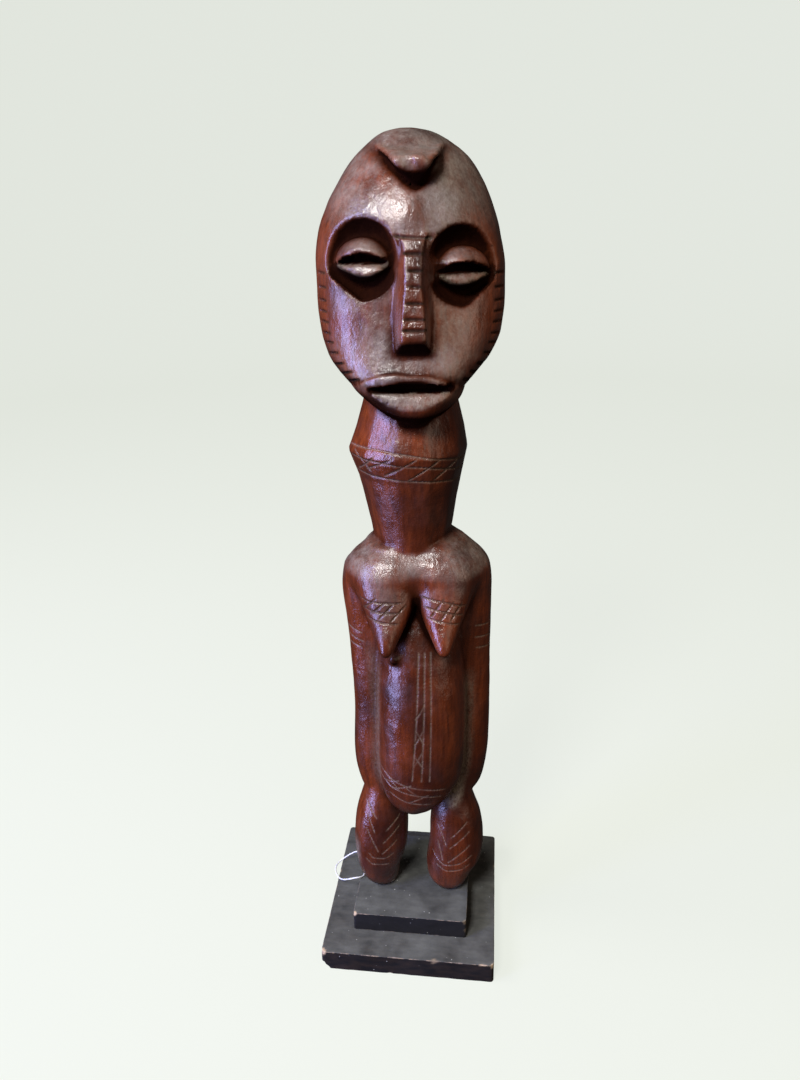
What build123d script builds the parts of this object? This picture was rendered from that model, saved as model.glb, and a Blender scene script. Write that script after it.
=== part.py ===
from build123d import *

import os
from math import pi, radians, tan

# A carved wooden ancestor figure on a two-tier wooden plinth, with a thread loop from its tag.
# Millimetres, +Z up, -Y is the front. The origin is the middle of the plinth's underside.
# The figure is one carving, bored from below in each leg, and it lifts straight off
# two steel pins that are set in the plinth. Four wood screws join the two tiers.

# ---- Plinth ----
board_width = 118.0
board_depth = 122.0
board_height = 15.0
block_width = 79.0
block_depth = 80.0
block_height = 14.5
plinth_top = board_height + block_height
board_edge_round = 2.5
block_edge_round = 1.5

# ---- Steel pins, and their sockets in the legs ----
pin_radius = 2.5
pin_foot_z = 5.0
pin_in_leg = 28.0
pin_tip_chamfer = 0.8
socket_clearance = 0.05
socket_end_gap = 2.0

# ---- Wood screws that hold the block on the board ----
screw_radius = 2.0
screw_head_radius = 3.6
screw_sunk = 0.4
screw_shank_end_z = 21.0
screw_tip_z = 25.0
screw_tip_radius = 0.3
screw_spacing = 56.0
recess_width = 1.1
recess_length = 3.6
recess_depth = 1.2

# ---- Figure ----
figure_turn = 6.0  # about Z, so that it faces a little to one side of the plinth's front
leg_places = {"left": (-23.2, 0.5), "right": (29.8, -4.5)}
head_x = 1.7

# Sections of a leg: height, shift away from the other leg, half width, half depth.
# A leg stands on a small flat foot, under a cone that widens to the first section.
foot_radius = 6.6
leg_sections = [
    (34.2, 1.0, 14.0, 13.6),
    (45.0, 2.0, 16.8, 16.4),
    (66.0, 0.4, 19.0, 18.0),
    (90.0, -0.6, 18.4, 17.6),
    (112.0, -1.0, 15.0, 15.0),
    (134.0, -2.0, 11.0, 11.0),
]
# Sections of the other masses: height, middle x, middle y, half width, half depth.
trunk_sections = [
    (111.0, 3.5, 4.0, 25.0, 12.0),
    (121.0, 4.5, 4.0, 39.0, 19.0),
    (145.0, 5.0, 3.5, 41.0, 21.0),
    (195.0, 5.4, 3.0, 40.5, 19.0),
    (245.0, 4.6, 2.5, 43.0, 20.0),
    (272.0, 4.0, 2.0, 46.0, 21.5),
    (287.0, 3.6, 2.0, 42.5, 20.5),
    (298.0, 2.0, 2.0, 28.0, 19.0),
    (306.0, 1.0, 2.0, 21.0, 17.0),
]
belly_sections = [
    (113.5, -1.0, -21.0, 9.0, 7.0),
    (120.0, 1.5, -19.5, 20.0, 15.0),
    (138.0, 5.0, -18.0, 28.0, 20.5),
    (175.0, 5.8, -16.0, 29.5, 21.5),
    (215.0, 5.8, -13.0, 28.0, 18.5),
    (256.0, 5.0, -6.0, 22.0, 12.0),
]
chest_sections = [
    (238.0, 5.0, -7.0, 25.0, 13.0),
    (258.0, 4.5, -6.0, 34.0, 21.0),
    (280.0, 3.8, -3.5, 35.0, 21.5),
    (299.0, 2.0, 1.0, 22.0, 17.0),
]
head_sections = [
    (380.5, 2.6, -24.0, 13.0, 11.0),
    (388.0, 2.2, -18.5, 27.0, 21.5),
    (403.0, head_x, -11.0, 42.0, 30.5),
    (425.0, head_x, -4.5, 49.0, 36.5),
    (452.0, head_x, 0.0, 50.4, 39.0),
    (478.0, head_x, 1.8, 45.6, 37.8),
    (500.0, 1.2, 3.0, 35.0, 31.5),
    (514.0, 0.2, 3.8, 23.0, 21.5),
    (522.5, -0.5, 4.5, 8.0, 7.5),
]
# Arms: height, middle x of the left and of the right arm, half width, half depth.
arm_sections = [
    (112.0, -26.0, 35.0, 5.0, 9.0),
    (128.0, -31.5, 41.5, 7.5, 15.0),
    (165.0, -32.2, 42.8, 8.0, 16.5),
    (220.0, -31.8, 42.4, 8.2, 16.5),
    (262.0, -34.0, 41.4, 8.2, 17.0),
    (286.0, -31.0, 38.0, 5.0, 11.0),
]
# Breasts: height, distance of the middle from the chest's middle, middle y, half width, half depth.
breast_sections = [
    (240.0, 14.2, -38.5, 3.6, 4.2),
    (252.0, 15.8, -27.5, 10.5, 11.0),
    (267.0, 17.4, -15.0, 16.0, 14.5),
    (284.0, 16.4, -6.0, 12.0, 12.0),
]
breast_middle_x = 4.8
# Neck: height and radius, widest at its belt.
neck_profile = [(294.0, 22.0), (308.0, 24.4), (354.0, 34.0), (380.0, 28.0), (400.0, 24.0)]
neck_x = 0.6
neck_y = 2.0
neck_sides = 12

eye_places = {"left": (-20.0, 455.5), "right": (27.0, 451.5)}
eye_y = -25.5
eye_radius = 13.0
eye_half_width = 15.5
socket_radius = 16.5
socket_half_width = 20.0
socket_rise = 9.0
socket_y = -40.0
slit_half_width = 13.0
slit_half_height = 2.6
slit_depth = 7.0

nose_top_z = 474.0
nose_tip_z = 416.0
nose_top_half_width = 6.0
nose_tip_half_width = 9.5
nose_top_y = -38.5
nose_tip_y = -50.5
nose_root_y = -25.0

mouth_z = 397.5
mouth_front_y = -60.0
mouth_back_y = -12.0
lips_half_width = 29.0
lips_half_height = 8.5
lips_proud = 2.5
mouth_half_width = 22.5
mouth_half_height = 4.6
mouth_depth = 4.0

# Tuft over the forehead, a wedge: y, half width, height of its top and of its lower corner.
tuft_x = 2.0
tuft_ends = [(-43.0, 6.0, 501.5, 495.0), (-14.0, 18.0, 518.0, 488.0)]

# ---- Thread loop of the tag ----
thread_radius = 0.5
thread_rise = 0.6  # middle of the thread above the plinth where it circles the foot
arc_share = 0.45
foot_loop_radius = 10.3
foot_loop_corners = 8
foot_loop_start = 192.0
knot_place = (-35.6, 4.1, 31.1)
knot_half_length = 2.3
knot_radius = 1.5
loose_route = [
    (-37.0, 3.9, 31.0),
    (-36.4, -2.4, 30.6),
    (-37.6, -8.2, 31.6),
    (-42.0, -11.2, 33.3),
    (-47.6, -9.6, 29.8),
    (-52.8, -4.4, 23.6),
    (-57.4, 2.6, 17.4),
    (-61.6, 9.2, 15.9),
    (-63.2, 16.2, 15.9),
    (-60.2, 21.8, 16.4),
    (-54.2, 22.8, 21.2),
    (-48.2, 20.2, 27.8),
    (-42.2, 15.4, 33.2),
    (-38.0, 9.4, 33.3),
    (-35.4, 3.8, 31.1),
]
thread_end = (-34.0, 4.9, 31.0)


def figure_plane(height):
    """A horizontal plane of the figure, turned with it."""
    return Plane.XY.rotated((0, 0, figure_turn)).offset(height)


def front_plane(y):
    """A vertical plane of the figure, seen from the front: its x is the figure's x, its y is Z."""
    turned = figure_plane(0)
    origin = turned.from_local_coords(Vector(0, y, 0))
    return Plane(origin=origin, x_dir=turned.x_dir, z_dir=-turned.y_dir)


def ellipse_section(height, x, y, half_width, half_depth):
    with BuildSketch(figure_plane(height)) as section:
        with Locations((x, y)):
            Ellipse(half_width, half_depth)
    return section.sketch


def loft_ellipses(rows):
    """A closed mass through elliptical sections."""
    with BuildPart() as mass:
        loft(sections=[ellipse_section(*row) for row in rows])
    return mass.part


def head_mass(grow):
    """The head's egg, grown or shrunk all round."""
    return loft_ellipses([(z, x, y, w + grow, d + grow) for z, x, y, w, d in head_sections])


def lens_sketch(y, x, z, half_width, half_height):
    """An almond outline of two arcs on a vertical plane of the figure."""
    left = (x - half_width, z)
    right = (x + half_width, z)
    with BuildSketch(front_plane(y)) as lens:
        with BuildLine():
            ThreePointArc(left, (x, z + half_height), right)
            ThreePointArc(right, (x, z - half_height), left)
        make_face()
    return lens.sketch


def ellipsoid_of_turning(plane, half_width, radius):
    """An ellipsoid that is round about the plane's x."""
    with BuildPart() as body:
        with BuildSketch(plane):
            Ellipse(half_width, radius)
            Rectangle(2 * half_width, radius, align=(Align.CENTER, Align.MAX), mode=Mode.SUBTRACT)
        revolve(axis=Axis(plane.origin, plane.x_dir))
    return body.part


def egg(x, y, z, half_width, radius):
    """An ellipsoid whose long axis lies across the figure."""
    centre = figure_plane(0).from_local_coords(Vector(x, y, z))
    across = Plane(origin=centre, x_dir=figure_plane(0).x_dir, z_dir=(0, 0, 1))
    return ellipsoid_of_turning(across, half_width, radius)


def foot_middle(side):
    """Where a leg, its socket and its pin stand in the plinth's frame."""
    x, y = leg_places[side]
    place = figure_plane(0).from_local_coords(Vector(x, y, 0))
    return (place.X, place.Y)


def thread_route():
    """The loose loop from the knot and back to it, then once round the left foot to the knot."""
    foot_x, foot_y = foot_middle("left")
    thread_z = plinth_top + thread_rise
    route = [Vector(*point) for point in loose_route]
    for corner in range(foot_loop_corners - 1):
        angle = foot_loop_start + corner * 360.0 / foot_loop_corners
        route.append(Vector(foot_x, foot_y, thread_z) + Vector(foot_loop_radius, 0).rotate(Axis.Z, angle))
    route.append(Vector(*thread_end))
    return route


def arc_radii(route):
    """For each corner, the largest arc that its two runs allow."""
    radii = []
    for before, corner, after in zip(route, route[1:], route[2:]):
        turn = (corner - before).get_angle(after - corner)
        shorter = min((corner - before).length, (after - corner).length)
        radii.append(arc_share * shorter / tan(radians(turn) / 2))
    return radii


pin_places = [foot_middle("left"), foot_middle("right")]

# ---- The carved figure ----
with BuildPart() as carved_figure:
    # Trunk, belly and chest
    for rows in (trunk_sections, belly_sections, chest_sections):
        add(loft_ellipses(rows))

    # Arms lie along the trunk, and the hands run out into the hips
    for arm in (1, 2):
        add(loft_ellipses([(row[0], row[arm], 1.0, row[3], row[4]) for row in arm_sections]))

    # Breasts hang as pointed wedges
    for way in (-1, 1):
        rows = [(z, breast_middle_x + way * x, y, w, d) for z, x, y, w, d in breast_sections]
        add(loft_ellipses(rows))

    # Legs, each a drumstick on a small flat foot
    for side, way in (("left", -1), ("right", 1)):
        leg_x, leg_y = leg_places[side]
        leg_rows = [(z, leg_x + way * shift, leg_y, w, d) for z, shift, w, d in leg_sections]
        foot_row = (plinth_top, leg_x, leg_y, foot_radius, foot_radius)
        loft(sections=[ellipse_section(*foot_row), ellipse_section(*leg_rows[0])], ruled=True)
        add(loft_ellipses(leg_rows))

    # Neck, a many-sided double cone
    neck_rings = []
    for z, radius in neck_profile:
        with BuildSketch(figure_plane(z)) as ring:
            with Locations((neck_x, neck_y)):
                RegularPolygon(radius, neck_sides, major_radius=False)
        neck_rings.append(ring.sketch)
    loft(sections=neck_rings, ruled=True)

    # Head
    add(head_mass(0))

    # Eye sockets, with a domed eye in each, slit across
    for x, z in eye_places.values():
        add(egg(x, socket_y, z + socket_rise, socket_half_width, socket_radius), mode=Mode.SUBTRACT)
        add(egg(x, eye_y, z, eye_half_width, eye_radius))
        slit = lens_sketch(eye_y - eye_radius - 1, x, z, slit_half_width, slit_half_height)
        extrude(slit, amount=-slit_depth, mode=Mode.SUBTRACT)

    # Nose, a long ridge that widens to its tip
    nose_ends = []
    for z, half_width, y in (
        (nose_tip_z, nose_tip_half_width, nose_tip_y),
        (nose_top_z, nose_top_half_width, nose_top_y),
    ):
        with BuildSketch(figure_plane(z)) as nose_end:
            with BuildLine():
                Polyline(
                    (head_x - half_width, nose_root_y),
                    (head_x - 0.55 * half_width, y),
                    (head_x + 0.55 * half_width, y),
                    (head_x + half_width, nose_root_y),
                    close=True,
                )
            make_face()
        nose_ends.append(nose_end.sketch)
    loft(sections=nose_ends, ruled=True)

    # Lips stand proud of the face, round the open mouth
    with BuildPart(mode=Mode.PRIVATE) as lips:
        add(head_mass(lips_proud))
        outline = lens_sketch(mouth_front_y, head_x, mouth_z, lips_half_width, lips_half_height)
        extrude(outline, amount=mouth_front_y - mouth_back_y, mode=Mode.INTERSECT)
    add(lips.part)
    with BuildPart(mode=Mode.PRIVATE) as mouth:
        outline = lens_sketch(mouth_front_y, head_x, mouth_z, mouth_half_width, mouth_half_height)
        extrude(outline, amount=mouth_front_y - mouth_back_y)
        add(head_mass(lips_proud - mouth_depth), mode=Mode.SUBTRACT)
    add(mouth.part, mode=Mode.SUBTRACT)

    # Tuft
    tuft_faces = []
    for y, half_width, top_z, low_z in tuft_ends:
        with BuildSketch(front_plane(y)) as tuft_end:
            with BuildLine():
                Polyline(
                    (tuft_x - half_width, top_z), (tuft_x, low_z), (tuft_x + half_width, top_z), close=True
                )
            make_face()
        tuft_faces.append(tuft_end.sketch)
    loft(sections=tuft_faces, ruled=True)

    # Sockets for the pins, bored from below
    with Locations(*[(x, y, plinth_top) for x, y in pin_places]):
        Cylinder(
            pin_radius + socket_clearance,
            pin_in_leg + socket_end_gap,
            align=(Align.CENTER, Align.CENTER, Align.MIN),
            mode=Mode.SUBTRACT,
        )

# ---- Pins ----
pins = []
for x, y in pin_places:
    with BuildPart() as pin:
        with BuildSketch(Plane.XY.offset(pin_foot_z)):
            with Locations((x, y)):
                Circle(pin_radius)
        extrude(amount=plinth_top + pin_in_leg - pin_foot_z)
        chamfer(pin.edges().sort_by(Axis.Z)[-1], length=pin_tip_chamfer)
    pins.append(pin.part)

# ---- Wood screws, driven up from below ----
with BuildPart() as plinth_screws:
    with BuildSketch(Plane.XZ) as screw_profile:
        with BuildLine():
            Polyline(
                (0, screw_sunk),
                (screw_head_radius, screw_sunk),
                (screw_radius, screw_sunk + screw_head_radius - screw_radius),
                (screw_radius, screw_shank_end_z),
                (screw_tip_radius, screw_tip_z),
                (0, screw_tip_z),
                close=True,
            )
        make_face()
    with BuildPart(mode=Mode.PRIVATE) as screw:
        revolve(screw_profile.sketch, axis=Axis.Z)
        with BuildSketch(Plane.XY.offset(screw_sunk)):
            Rectangle(recess_length, recess_width)
            Rectangle(recess_width, recess_length)
        extrude(amount=recess_depth, mode=Mode.SUBTRACT)
    with GridLocations(screw_spacing, screw_spacing, 2, 2):
        add(screw.part)

# ---- Plinth board ----
with BuildPart() as plinth_board:
    Box(board_width, board_depth, board_height, align=(Align.CENTER, Align.CENTER, Align.MIN))
    fillet(plinth_board.edges().filter_by(Axis.Z), radius=board_edge_round)
    with Locations(*[(x, y, board_height) for x, y in pin_places]):
        Cylinder(
            pin_radius,
            board_height - pin_foot_z,
            align=(Align.CENTER, Align.CENTER, Align.MAX),
            mode=Mode.SUBTRACT,
        )
    with Locations(Plane.XY.rotated((180, 0, 0))):
        with GridLocations(screw_spacing, screw_spacing, 2, 2):
            CounterSinkHole(screw_radius, screw_head_radius + screw_sunk, counter_sink_angle=90)

# ---- Plinth block ----
with BuildPart() as plinth_block:
    with BuildSketch(Plane.XY.offset(board_height)):
        Rectangle(block_width, block_depth)
    extrude(amount=block_height)
    fillet(plinth_block.edges().filter_by(Axis.Z), radius=block_edge_round)
    with Locations(*[(x, y, board_height) for x, y in pin_places]):
        Cylinder(
            pin_radius,
            block_height,
            align=(Align.CENTER, Align.CENTER, Align.MIN),
            mode=Mode.SUBTRACT,
        )
    add(plinth_screws.part, mode=Mode.SUBTRACT)

# ---- Thread loop, and the knot that closes it ----
route = thread_route()
radii = arc_radii(route)
with BuildPart() as tag_string:
    with BuildLine() as thread_line:
        FilletPolyline(*route, radius=radii)
    path = thread_line.wire()
    with BuildSketch(Plane(origin=path @ 0, z_dir=path % 0)):
        Circle(thread_radius)
    sweep(path=path)
print("thread arcs:", " ".join(f"{radius:.1f}" for radius in radii))
print(f"thread length {path.length:.1f}, volume {tag_string.part.volume:.2f}",
      f"against {pi * thread_radius**2 * path.length:.2f}")

knot_plane = Plane(origin=knot_place, x_dir=(1, 0, 0), z_dir=(0, 0, 1))
with BuildPart() as tag_string_knot:
    add(ellipsoid_of_turning(knot_plane, knot_half_length, knot_radius))

parts = {
    "carved_figure": carved_figure.part,
    "plinth_board": plinth_board.part,
    "plinth_block": plinth_block.part,
    "left_mounting_pin": pins[0],
    "right_mounting_pin": pins[1],
    "plinth_screws": plinth_screws.part,
    "tag_string": tag_string.part,
    "tag_string_knot": tag_string_knot.part,
}

os.makedirs("parts", exist_ok=True)
for name, part in parts.items():
    part.label = name
    export_step(part, f"parts/{name}.step")
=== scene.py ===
import math

import bmesh
import bpy
import numpy as np
import openvdb
from mathutils import Matrix, Vector
from mathutils.kdtree import KDTree
from mathutils.noise import noise as smooth_noise


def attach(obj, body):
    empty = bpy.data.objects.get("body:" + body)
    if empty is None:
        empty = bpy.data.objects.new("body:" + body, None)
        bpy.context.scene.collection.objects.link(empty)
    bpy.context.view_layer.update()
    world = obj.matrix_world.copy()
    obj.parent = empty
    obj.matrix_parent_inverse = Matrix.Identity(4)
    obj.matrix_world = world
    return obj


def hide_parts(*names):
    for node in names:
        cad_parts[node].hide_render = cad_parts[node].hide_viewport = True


# The looks of a carved wooden ancestor figure on a black painted plinth.
# The carving is sculpted as a distance field in millimetres, in the figure's own frame:
# x across, -y out of the face, z up from the plinth's underside.

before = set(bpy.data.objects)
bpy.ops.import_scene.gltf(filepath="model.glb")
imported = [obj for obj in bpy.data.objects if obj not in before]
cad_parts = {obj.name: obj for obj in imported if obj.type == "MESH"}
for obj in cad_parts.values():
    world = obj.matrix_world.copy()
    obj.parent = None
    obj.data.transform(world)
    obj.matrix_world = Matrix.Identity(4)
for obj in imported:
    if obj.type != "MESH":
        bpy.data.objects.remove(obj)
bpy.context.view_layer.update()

MM = 0.001
FIGURE_TURN = math.radians(6.0)
VOXEL = 1.86
PLINTH_TOP = 29.5
SOCKET_RADIUS = 2.6
SOCKET_TOP = 59.5
# Faces are made finer where the surface turns by more than this angle, above this height
# and round the pins' sockets
SHARP_ANGLE = 0.42
SHARP_ABOVE = 236


# ---- objects


def placed(name, data):
    """A new object in the scene."""
    obj = bpy.data.objects.new(name, data)
    bpy.context.scene.collection.objects.link(obj)
    return obj


def smooth_object(mesh, values):
    """A smooth object of a mesh, with each named value at its vertices."""
    mesh.polygons.foreach_set("use_smooth", np.ones(len(mesh.polygons), bool))
    for name, value in values.items():
        attribute = mesh.attributes.new(name, "FLOAT", "POINT")
        attribute.data.foreach_set("value", value.astype(np.float32))
    mesh.update()
    return placed(mesh.name, mesh)


def stand_in(piece, body, node):
    """Makes a piece ride on a body in place of a CAD node."""
    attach(piece, body)
    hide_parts(node)


# ---- distance field helpers


def smooth_max(a, b, k):
    """The larger of two fields, rounded over about k mm where they meet."""
    h = np.clip(0.5 + 0.5 * (a - b) / k, 0, 1)
    return a * h + b * (1 - h) + k * h * (1 - h)


def smooth_min(a, b, k):
    return -smooth_max(-a, -b, k)


def rise(value, start, span):
    """Goes from 0 at the start to 1 at the start plus the span, which may be negative."""
    return np.clip((value - start) / span, 0, 1)


def hill(value, middle, width, power=2):
    """1 at the middle, and falls to nothing on both sides."""
    return np.exp(-(((value - middle) / width) ** power))


def curve(z, knots, values):
    """A smooth line through the knots that never overshoots them (monotone cubic)."""
    knots = np.asarray(knots, float)
    values = np.asarray(values, float)
    step = np.diff(knots)
    slope = np.diff(values) / step
    tangent = np.zeros_like(values)
    same_way = slope[1:] * slope[:-1] > 0
    mean = 2 * slope[1:] * slope[:-1] / np.where(same_way, slope[1:] + slope[:-1], 1)
    tangent[1:-1] = np.where(same_way, mean, 0)
    tangent[0], tangent[-1] = slope[0], slope[-1]
    z = np.clip(z, knots[0], knots[-1])
    i = np.clip(np.searchsorted(knots, z, side="right") - 1, 0, len(step) - 1)
    t = (z - knots[i]) / step[i]
    a = (1 + 2 * t) * (1 - t) ** 2 * values[i] + t * t * (3 - 2 * t) * values[i + 1]
    b = t * (1 - t) ** 2 * tangent[i] - t * t * (1 - t) * tangent[i + 1]
    return a + b * step[i]


def mass(p, rows, end_round):
    """A closed mass through level sections: z, middle x, half width, widest y, front, back, squareness."""
    knots = [row[0] for row in rows]
    middle, width, widest, front, back, square = (
        curve(p[2], knots, values) for values in list(zip(*rows))[1:]
    )
    u = np.abs(p[0] - middle) / width + 1e-6
    depth = p[1] - widest
    reach = np.where(depth < 0, front, back)
    v = np.abs(depth) / reach + 1e-6
    q = (u**square + v**square) ** (1 / square)
    fall = q ** (1 - square) * np.hypot(u ** (square - 1) / width, v ** (square - 1) / reach)
    side = (q - 1) / fall
    half = (knots[-1] - knots[0]) / 2
    ends = np.abs(p[2] - (knots[-1] + knots[0]) / 2) - half
    return smooth_max(side, ends, end_round)


def ellipsoid(p, centre, radii, turn=0.0):
    """turn is about z, in degrees."""
    x, y, z = (p[k] - centre[k] for k in range(3))
    c, s = math.cos(math.radians(turn)), math.sin(math.radians(turn))
    x, y = c * x + s * y, c * y - s * x
    a = np.sqrt((x / radii[0]) ** 2 + (y / radii[1]) ** 2 + (z / radii[2]) ** 2) + 1e-9
    b = np.sqrt((x / radii[0] ** 2) ** 2 + (y / radii[1] ** 2) ** 2 + (z / radii[2] ** 2) ** 2)
    return a * (a - 1) / (b + 1e-9)


def plane(p, a, b, c, inside):
    """The half space behind the plane through a, b and c, on the side where the point inside lies."""
    a, b, c, inside = (np.array(q, float) for q in (a, b, c, inside))
    n = np.cross(b - a, c - a)
    n /= np.linalg.norm(n)
    if n @ (inside - a) > 0:
        n = -n
    return n[0] * (p[0] - a[0]) + n[1] * (p[1] - a[1]) + n[2] * (p[2] - a[2])


def rod(p, points, radius):
    """A round rod along a line of points, with its radius at each point."""
    best = np.full(p[0].shape, 1e9)
    for (a, ra), (b, rb) in zip(zip(points, radius), zip(points[1:], radius[1:])):
        a, b = np.array(a, float), np.array(b, float)
        d = b - a
        t = sum((p[k] - a[k]) * d[k] for k in range(3)) / (d @ d)
        t = np.clip(t, 0, 1)
        near = np.sqrt(sum((p[k] - a[k] - t * d[k]) ** 2 for k in range(3)))
        best = np.minimum(best, near - ra - t * (rb - ra))
    return best


# ---- the carving's masses

# Level sections as mass() takes them: z, middle x, half width, widest y, front, back, squareness
HEAD = [
    (378, 3, 6, -27, 9, 8, 2),
    (381.5, 2.8, 14, -26, 15, 13, 2),
    (389, 2, 24.5, -20, 25, 20, 2.2),
    (396, 0.2, 31.4, -13, 33.5, 26, 2.4),
    (404, 0.2, 38.8, -9, 36.5, 30, 2.6),
    (412, 0.9, 44.7, -6, 37, 32, 2.7),
    (424, 1.7, 49, -3.5, 37.4, 34, 2.75),
    (440, 1.8, 50.6, -1, 38.2, 36.5, 2.7),
    (456, 1.6, 50.6, 0, 39, 38.5, 2.6),
    (472, 1, 48.4, 1, 39.3, 38.5, 2.4),
    (486, 1.4, 43.8, 1.8, 36.8, 35.5, 2.2),
    (498, 2.2, 37.6, 2.4, 32, 31, 2.05),
    (508, 2.4, 30.6, 3.2, 26.5, 25.5, 2),
    (516, 1.8, 21.2, 4, 19, 18.5, 2),
    (520.5, 0.8, 13.2, 4.5, 12, 11.5, 2),
    (522.6, 0.2, 5, 5, 4.5, 4.5, 2),
]
# The neck: z, middle x, radius
NECK = [
    (288, 0.8, 20.6),
    (296, 0.8, 22.6),
    (309, 1, 24.6),
    (325, 0.5, 27.4),
    (340, 0.2, 30.4),
    (355.5, -1, 34.8),
    (368, 0.4, 31.4),
    (382, 0.8, 27.6),
    (404, 0.8, 22),
]
NECK_Y = 1.5
NECK_SIDES = 11
BODY = [
    (98.5, 4, 20, 4, 9, 10, 2.2),
    (103.6, 3.8, 31, 3.5, 14, 14, 2.4),
    (110.4, 4.4, 37.8, 3, 16, 16, 2.6),
    (120, 5.2, 42, 2.5, 17, 17.5, 2.7),
    (135, 5.2, 44.6, 2, 17, 18, 2.9),
    (150, 5.6, 45.4, 1.6, 16.5, 17.5, 3),
    (182, 6.3, 44.8, 1, 15.5, 16.5, 3),
    (218, 5.4, 45, 0.5, 15.5, 16, 3),
    (245, 4.6, 45.7, 0, 18, 16.5, 2.8),
    (268, 3.6, 46.6, 0, 22, 18, 2.6),
    (281, 3.8, 45.2, 0, 27, 18, 2.4),
    (288, 4.2, 41, 0, 25, 17.5, 2.2),
    (295, 4.6, 33.2, 0.3, 20.5, 17, 2.1),
    (302, 3.4, 24.6, 1, 18, 16.5, 2.1),
    (309, 1.5, 15, 1, 14, 14, 2),
]
BELLY = [
    (108.8, -1, 7, -16.5, 11.5, 8, 2),
    (113, 0.5, 16.5, -14, 18, 8, 2.1),
    (123, 3, 24, -11, 24.5, 10, 2.2),
    (138, 4.8, 28.2, -10, 27.5, 12, 2.4),
    (160, 5.4, 29.5, -9, 29, 12, 2.4),
    (195, 5.9, 29.3, -8, 29, 12, 2.3),
    (220, 5.8, 28, -7, 26, 12, 2.2),
    (240, 5.2, 26, -6, 21, 10, 2.2),
    (258, 4.5, 22, -4, 15, 8, 2.2),
]
# The legs, each in its own frame with x outward from its place
LEGS = {
    -1: [
        (PLINTH_TOP, -0.2, 6.6, 0, 6.6, 6.6, 2),
        (33.4, 0.6, 11.8, 0, 13.8, 12.2, 2),
        (38, 1.8, 13.6, 0, 16, 14.5, 2.1),
        (45, 2.2, 15, 0, 17.4, 16, 2.2),
        (57, 1.2, 17.6, 0, 18.4, 17.2, 2.3),
        (70, 0.3, 19, 0, 18.8, 17.8, 2.3),
        (84, -0.4, 18.6, 0, 18.2, 17.6, 2.3),
        (96, -1.3, 17.2, 0, 17, 17, 2.2),
        (108, -2.4, 14.6, 1, 15, 15, 2.2),
        (130, -4.5, 11.5, 2, 12, 12, 2.2),
    ],
    1: [
        (PLINTH_TOP, -2.4, 6.6, 0, 6.6, 6.6, 2),
        (33.4, -5, 11.8, 0, 13.4, 12.2, 2),
        (38, -5.4, 14.2, 0, 15.8, 14.5, 2.1),
        (45, -4.6, 16.2, 0, 17.2, 16, 2.2),
        (57, -1.3, 18.8, 0, 18.4, 17.2, 2.3),
        (71, 0.3, 18.8, 0, 18.8, 17.8, 2.3),
        (84, 0, 18.2, 0, 18.2, 17.6, 2.3),
        (94, -0.6, 16.8, 0, 17, 17, 2.2),
        (107, -2.2, 13.8, 1, 15, 15, 2.2),
        (130, -4.5, 11.5, 2, 12, 12, 2.2),
    ],
}
LEG_PLACES = {-1: (-23.2, 0.5), 1: (29.8, -4.5)}
# A breast, in its own frame with x outward from the line between the two
BREAST = [
    (236.3, 14.6, 1.8, -39, 2.8, 2.8, 2),
    (239, 14.6, 4.1, -37, 5.8, 6, 2),
    (244, 14.5, 6.9, -32, 10, 9, 2),
    (250, 14.5, 10.2, -26, 13.6, 11, 2),
    (256, 14.5, 13.4, -21, 15.8, 12, 2.1),
    (262, 14.6, 16.2, -17, 17.4, 12, 2.2),
    (270, 15.2, 18.6, -13, 19.2, 12, 2.3),
    (280, 16, 20, -9, 20.6, 10, 2.3),
    (288, 15.6, 18.4, -7, 18.6, 10, 2.2),
    (296, 13, 13, -4, 14.2, 9, 2.1),
]
BREAST_MIDDLE = {-1: 1, 1: 4.4}


def head(p):
    """An egg with a faint keel down the forehead."""
    keel = 1.3 * hill(p[0], 1.6, 7.0) * hill(p[2], 482.0, 11.0)
    return mass(p, HEAD, 1.5) - keel * (p[1] < 0)


def neck(p):
    """A hewn neck with flat sides, widest at its middle."""
    knots = [row[0] for row in NECK]
    radius = np.interp(p[2], knots, [row[2] for row in NECK])
    x, y = p[0] - np.interp(p[2], knots, [row[1] for row in NECK]), p[1] - NECK_Y
    sector = 2 * math.pi / NECK_SIDES
    angle = np.arctan2(y, x) + 0.35
    folded = (angle + sector / 2) % sector - sector / 2
    far = np.hypot(x, y)
    d = (0.45 * far * np.cos(folded) + 0.55 * far - 0.99 * radius) * 0.95
    ends = np.abs(p[2] - (knots[0] + knots[-1]) / 2) - (knots[-1] - knots[0]) / 2
    return smooth_max(d, ends, 1.0)


def wedge_slit(p, surface, x, z, half_width, up, down, depth):
    """A lens-shaped opening in a surface: a sloping low lip, then a deep dark gap under the top edge."""
    u = (p[0] - x) / half_width
    bow = np.maximum(1 - u * u, -1)
    top = p[2] - z - up * bow
    low = z - down * bow - p[2]
    tall = (up + down) * np.maximum(bow, 0.05)
    height = np.clip((p[2] - z + down * bow) / tall, 0, 1.2)
    deep = np.interp(height, (0, 0.5, 0.66, 1.2), (0, 0.36, 0.95, 1.0))
    floor = -surface - depth * deep * np.sqrt(np.clip(bow, 0, 1)) - 0.15
    return smooth_max(smooth_max(top, low, 0.2), floor, 0.3)


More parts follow.
